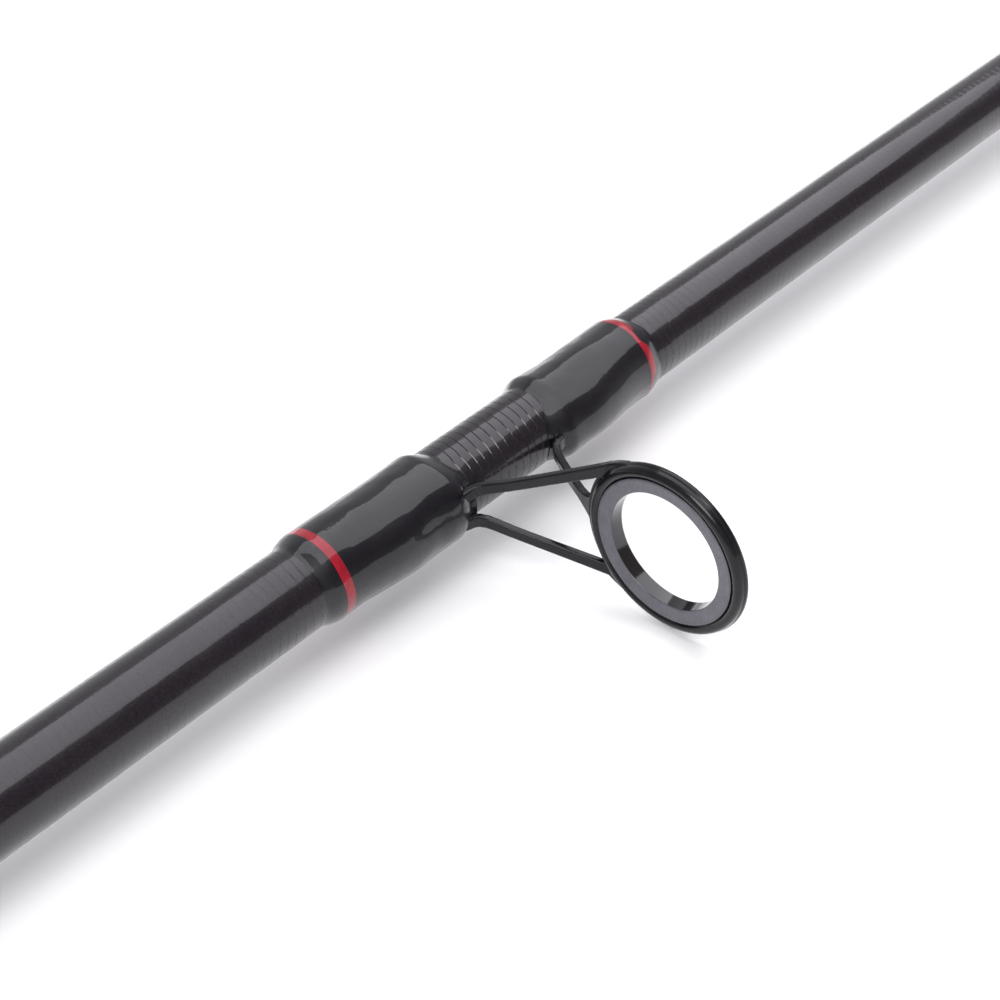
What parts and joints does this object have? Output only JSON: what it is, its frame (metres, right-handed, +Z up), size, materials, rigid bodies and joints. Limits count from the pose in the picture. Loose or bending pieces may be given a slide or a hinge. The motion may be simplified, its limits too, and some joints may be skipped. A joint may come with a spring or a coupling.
{
  "type": "spinning rod",
  "caption": "Long slim two-section fishing rod with foam grips, a reel seat and ring guides that lead the line to its tip.",
  "frame": {"origin": "centre of the butt cap's flat end face, on the blank's axis", "axes": "+X along the blank from butt to tip, +Z up, guides towards -Y"},
  "size_m": [2.6979, 0.0672, 0.0304],
  "materials": {
    "carbon_blank": "glossy clear-coated carbon with tape ridges",
    "epoxy_wrap": "black thread under thick glossy epoxy",
    "red_thread": "red thread under gloss",
    "guide_frame": "satin-gloss black stamped metal",
    "guide_ring": "polished grey ceramic",
    "grip_foam": "fine-grained matte EVA foam",
    "rubber": "matte rubber",
    "reel_seat": "satin-gloss moulded black",
    "red_trim": "red anodised",
    "hood_metal": "gunmetal",
    "arbor": "rigid foam"
  },
  "bodies": {
    "butt_section": {"butt_cap": "rubber", "rear_grip": "grip_foam", "trim_ring": "red_trim", "rear_arbor": "arbor", "front_arbor": "arbor", "reel_seat_body": "reel_seat", "fixed_hood": "hood_metal", "fore_grip": "grip_foam", "winding_check": "hood_metal", "hook_keeper": "hood_metal", "hook_keeper_rear_wrap": "epoxy_wrap", "hook_keeper_front_wrap": "epoxy_wrap", "butt_blank": "carbon_blank", "ferrule_rear_wrap": "epoxy_wrap", "stripper_guide_frame": "guide_frame", "stripper_guide_ring": "guide_ring", "stripper_guide_rear_wrap": "epoxy_wrap", "stripper_guide_front_wrap": "epoxy_wrap", "stripper_guide_rear_trim_band": "red_thread", "stripper_guide_front_trim_band": "red_thread"},
    "tip_section": {"tip_blank": "carbon_blank", "ferrule_front_wrap": "epoxy_wrap", "second_guide_frame": "guide_frame", "second_guide_ring": "guide_ring", "second_guide_rear_wrap": "epoxy_wrap", "second_guide_front_wrap": "epoxy_wrap", "third_guide_frame": "guide_frame", "third_guide_ring": "guide_ring", "third_guide_rear_wrap": "epoxy_wrap", "third_guide_front_wrap": "epoxy_wrap", "fourth_guide_frame": "guide_frame", "fourth_guide_ring": "guide_ring", "fourth_guide_wrap": "epoxy_wrap", "fifth_guide_frame": "guide_frame", "fifth_guide_ring": "guide_ring", "fifth_guide_wrap": "epoxy_wrap", "sixth_guide_frame": "guide_frame", "sixth_guide_ring": "guide_ring", "sixth_guide_wrap": "epoxy_wrap", "seventh_guide_frame": "guide_frame", "seventh_guide_ring": "guide_ring", "seventh_guide_wrap": "epoxy_wrap", "tip_top_frame": "guide_frame", "tip_top_ring": "guide_ring", "tip_top_wrap": "epoxy_wrap"},
    "hood_carriage": {"sliding_hood": "hood_metal"},
    "nut": {"lock_nut": "hood_metal"}
  },
  "joints": [
    {"name": "ferrule_pull", "type": "slide", "parent": "butt_section", "child": "tip_section", "axis": [1, 0, 0], "range_m": [0, 0.075]},
    {"name": "hood_slide", "type": "slide", "parent": "butt_section", "child": "hood_carriage", "axis": [1, 0, 0], "range_m": [0, 0.0221]},
    {"name": "nut_turn", "type": "hinge", "parent": "hood_carriage", "child": "nut", "pos_m": [0.4122, 0, 0], "axis": [1, 0, 0], "range_deg": [0, 2640]}
  ],
  "couplings": [
    {"joint": "hood_slide", "follows": "nut_turn", "m_per_rad": 0.00047746}
  ]
}
